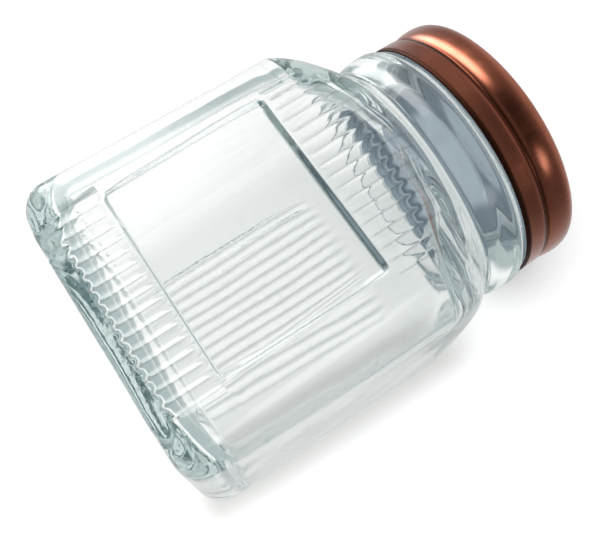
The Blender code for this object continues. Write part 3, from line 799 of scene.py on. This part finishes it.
def paint_sheet():
    """White paper, with painted light in soft bands where the flutes would gather the light, and painted shade in fine
    grey lines between them.
    """
    surface, tree, shader = new_material("pale_floor_paper")
    fill(shader, Roughness=0.9, Emission_Color=(1, 1, 1, 1))
    vector = places_of(tree)
    x, _, z = split(tree, vector)
    path = add(tree, "ShaderNodeLightPath")
    wave = combine(tree, "COSINE", times(tree, x, 2 * math.pi / FLUTE_PITCH))
    fluted = sheet_under_flutes(tree, x, z)
    colour = blend_colour(tree, noise_in(tree, vector, 300.0, 4.0), SHEET_DIM, SHEET_WHITE)
    # Painted shade: fine grey lines between the bands under the back flutes
    colour = blend_colour(tree, times(tree, between(tree, wave, -0.2, -0.95), fluted), colour, SHEET_LINE_SHADE)
    # Painted shadow: a greyer border along the jar's sides
    colour = blend_colour(tree, sheet_side_shadow(tree, x, z), colour, SHEET_SIDE_SHADOW)
    # Painted shade: the sheet far from the jar turns dark when seen through the glass
    colour = blend_colour(tree, sheet_far_shade(tree, x, z, path), colour, SHEET_FAR_SHADE)
    tree.links.new(colour, shader.inputs["Base Color"])
    # Far from the jar the sheet stays as white as near it
    distance = add(tree, "ShaderNodeVectorMath", operation="LENGTH")
    tree.links.new(vector, distance.inputs[0])
    far_glow = between(tree, distance.outputs["Value"], 0.3, 1.1, 0.0, SHEET_FAR_GLOW)
    # Painted light: the sheet glows brighter in soft bands under the back flutes and dimmer between them
    bands = times(tree, between(tree, wave, -0.6, 1.0, BAND_DIM, BAND_BRIGHT), fluted)
    glow = combine(tree, "ADD", combine(tree, "ADD", bands, far_glow), SHEET_GLOW)
    tree.links.new(combine(tree, "MAXIMUM", glow, 0), shader.inputs["Emission Strength"])
    # Shiny surfaces mirror the room and not the sheet, and from behind the sheet is clear
    mirrored = combine(tree, "SUBTRACT", path.outputs["Is Glossy Ray"], path.outputs["Is Transmission Ray"])
    behind = add(tree, "ShaderNodeNewGeometry").outputs["Backfacing"]
    mix_shaders(tree, combine(tree, "MAXIMUM", behind, mirrored), shader, add(tree, "ShaderNodeBsdfTransparent"))
    return surface


def lay_floor():
    """The jar lies on its back in the view, so the pale floor is the upright sheet behind it."""
    bpy.ops.object.select_all(action="DESELECT")
    bpy.ops.mesh.primitive_plane_add(size=SHEET_SIZE, location=(0, HALF + SHEET_GAP, AXIS_MIDDLE),
                                     rotation=(math.radians(90), 0, 0))
    floor = bpy.context.object
    floor.name = "pale_floor"
    bpy.ops.object.transform_apply(location=True, rotation=True, scale=True)
    floor.data.materials.append(paint_sheet())


def toward(azimuth, height):
    """Direction out from the jar: azimuth 0 is its front, 90 its right."""
    turn, rise = math.radians(azimuth), math.radians(height)
    return Vector((math.sin(turn) * math.cos(rise), -math.cos(turn) * math.cos(rise), math.sin(rise)))


def hang_lamp(name, azimuth, height, distance, size, power):
    """A square lamp that lights the scene and is neither seen nor mirrored."""
    lamp = bpy.data.lights.new(name, "AREA")
    lamp.shape = "RECTANGLE"
    lamp.size = lamp.size_y = size
    lamp.energy = power
    item = bpy.data.objects.new(name, lamp)
    bpy.context.scene.collection.objects.link(item)
    way = toward(azimuth, height)
    item.location = Vector((0, 0, AXIS_MIDDLE)) + way * distance
    item.rotation_euler = way.to_track_quat("Z", "Y").to_euler()
    item.visible_camera = item.visible_glossy = item.visible_transmission = False


def grey(value):
    """A colour without hue."""
    return value, value, value


# The room as (place, colour), from -1 at the front or straight down to 1 at the back or straight up
ROOM = [(-1.0, grey(0.20)), (0.0, grey(0.18)), (0.24, grey(0.23)), (0.52, grey(0.40)), (1.0, grey(0.7))]
THROUGH_GLASS = [(-1.0, (0.26, 0.31, 0.30)), (-0.76, (0.56, 0.61, 0.60)), (-0.5, grey(1.0)), (0.44, grey(1.0)),
                 (0.68, (0.78, 0.83, 0.88)), (0.86, (0.46, 0.53, 0.61)), (1.0, (0.22, 0.27, 0.33))]
WORLD_LIGHT, WORLD_WHITE = grey(0.59), grey(1)

# Patches in the mirrored room. Sideways a patch is full and then gone where the cosine from its azimuth has
# fallen so far below 1, and upward it reaches half to each side of its middle, and fades from there
LONG_WINDOW = dict(azimuth=-66, full=0.08, gone=0.38, middle=0.0, half=0.12, fade=0.14, strength=6.2)
WINDOW_GLOW = dict(azimuth=-80, full=0.1, gone=0.8, middle=0.3, half=0.5, fade=0.5, strength=0.21)
NARROW_WINDOW = dict(azimuth=58, full=0.003, gone=0.02, middle=0.2, half=0.1, fade=0.16, strength=2.2)
DARK_DOORWAY = dict(azimuth=22, full=0.05, gone=0.24, middle=0.10, half=0.24, fade=0.16, strength=-0.14)
PALE_CEILING = dict(azimuth=0, full=0.1, gone=0.6, middle=1.0, half=0.15, fade=0.45, strength=0.5)


def shade_by(tree, value, stops):
    """Colours along a value that runs from -1 to 1."""
    share = fill(add(tree, "ShaderNodeMapRange"), From_Min=-1.0, From_Max=1.0)
    ramp = add(tree, "ShaderNodeValToRGB")
    tree.links.new(value, share.inputs["Value"])
    tree.links.new(share.outputs["Result"], ramp.inputs["Fac"])
    points = ramp.color_ramp.elements
    for _ in stops[2:]:
        points.new(1.0)
    for point, (place, colour) in zip(points, stops):
        point.position, point.color = (place + 1) / 2, (*colour, 1)
    return ramp.outputs["Color"]


def soft_window(tree, value, middle, full, gone):
    """1 up to full away from the middle, falling softly to 0 at gone."""
    away = combine(tree, "ABSOLUTE", combine(tree, "SUBTRACT", value, middle))
    return between(tree, away, gone, full)


def room_patch(tree, view, height, azimuth, full, gone, middle, half, fade, strength):
    """One window or dark place of the mirrored room."""
    side = add(tree, "ShaderNodeVectorMath", operation="DOT_PRODUCT")
    side.inputs[1].default_value = tuple(toward(azimuth, math.degrees(math.asin(middle))))
    tree.links.new(view, side.inputs[0])
    across = soft_window(tree, side.outputs["Value"], 1.0, full, gone)
    up = soft_window(tree, height, middle, half, half + fade)
    return times(tree, across, up, strength)


def light_studio():
    """One soft lamp in front for the shadow, and a room that differs for mirrored, refracted and plain light."""
    hang_lamp("window_light", azimuth=0, height=-12, distance=1.0, size=0.55, power=8.0)
    world = bpy.data.worlds.new("studio")
    bpy.context.scene.world = world
    world.use_nodes = True
    tree = world.node_tree
    view = add(tree, "ShaderNodeTexCoord").outputs["Generated"]
    _, depth, height = split(tree, view)
    glare = 0
    for patch in (LONG_WINDOW, WINDOW_GLOW, NARROW_WINDOW, DARK_DOORWAY, PALE_CEILING):
        glare = combine(tree, "ADD", room_patch(tree, view, height, **patch), glare)
    lit_room = add(tree, "ShaderNodeVectorMath", operation="ADD")
    tree.links.new(shade_by(tree, depth, ROOM), lit_room.inputs[0])
    tree.links.new(glare, lit_room.inputs[1])
    path = add(tree, "ShaderNodeLightPath")
    # Light that the render picks straight from the world has no kind, so the plain light comes first
    colour = WORLD_LIGHT
    for kind, shade in (("Is Glossy Ray", lit_room.outputs["Vector"]),
                        ("Is Transmission Ray", shade_by(tree, height, THROUGH_GLASS)),
                        ("Is Camera Ray", WORLD_WHITE)):
        colour = blend_colour(tree, path.outputs[kind], colour, shade)
    tree.links.new(colour, tree.nodes["Background"].inputs["Color"])


# Camera, fitted to the jar's outline. It looks at a place on the front and is rolled, because the jar lies
CAMERA_AIM, CAMERA_DISTANCE = Vector((0, -51.03, 38.06)) * MM, 250.02 * MM
CAMERA_AZIMUTH, CAMERA_HEIGHT, CAMERA_ROLL = 19.17, -6.0, 57.972
CAMERA_LENS, CAMERA_SENSOR, CAMERA_SHIFT = 55.18, 36, (0.1573, -0.0348)


def set_camera():
    """The viewing angle, lens and framing of the view that the model follows."""
    camera = bpy.data.objects.new("camera", bpy.data.cameras.new("camera"))
    bpy.context.scene.collection.objects.link(camera)
    back = toward(CAMERA_AZIMUTH, CAMERA_HEIGHT)
    upright = back.to_track_quat("Z", "Y").to_matrix().to_4x4()
    rolled = upright @ Matrix.Rotation(math.radians(CAMERA_ROLL), 4, "Z")
    camera.matrix_world = Matrix.Translation(CAMERA_AIM + back * CAMERA_DISTANCE) @ rolled
    camera.data.lens, camera.data.sensor_width = CAMERA_LENS, CAMERA_SENSOR
    camera.data.shift_x, camera.data.shift_y = CAMERA_SHIFT
    camera.data.clip_start, camera.data.clip_end = 0.01, 50
    bpy.context.scene.camera = camera


def set_look():
    """Enough bounces for light to cross both glass walls many times."""
    scene = bpy.context.scene
    scene.view_settings.view_transform = "Standard"
    scene.cycles.max_bounces = 40
    scene.cycles.transmission_bounces = 32
    scene.cycles.transparent_max_bounces = 24
    scene.cycles.glossy_bounces = 32
    scene.cycles.caustics_reflective = False
    scene.cycles.caustics_refractive = False
    scene.cycles.use_denoising = True


set_camera()
dress()
lay_floor()
light_studio()
set_look()
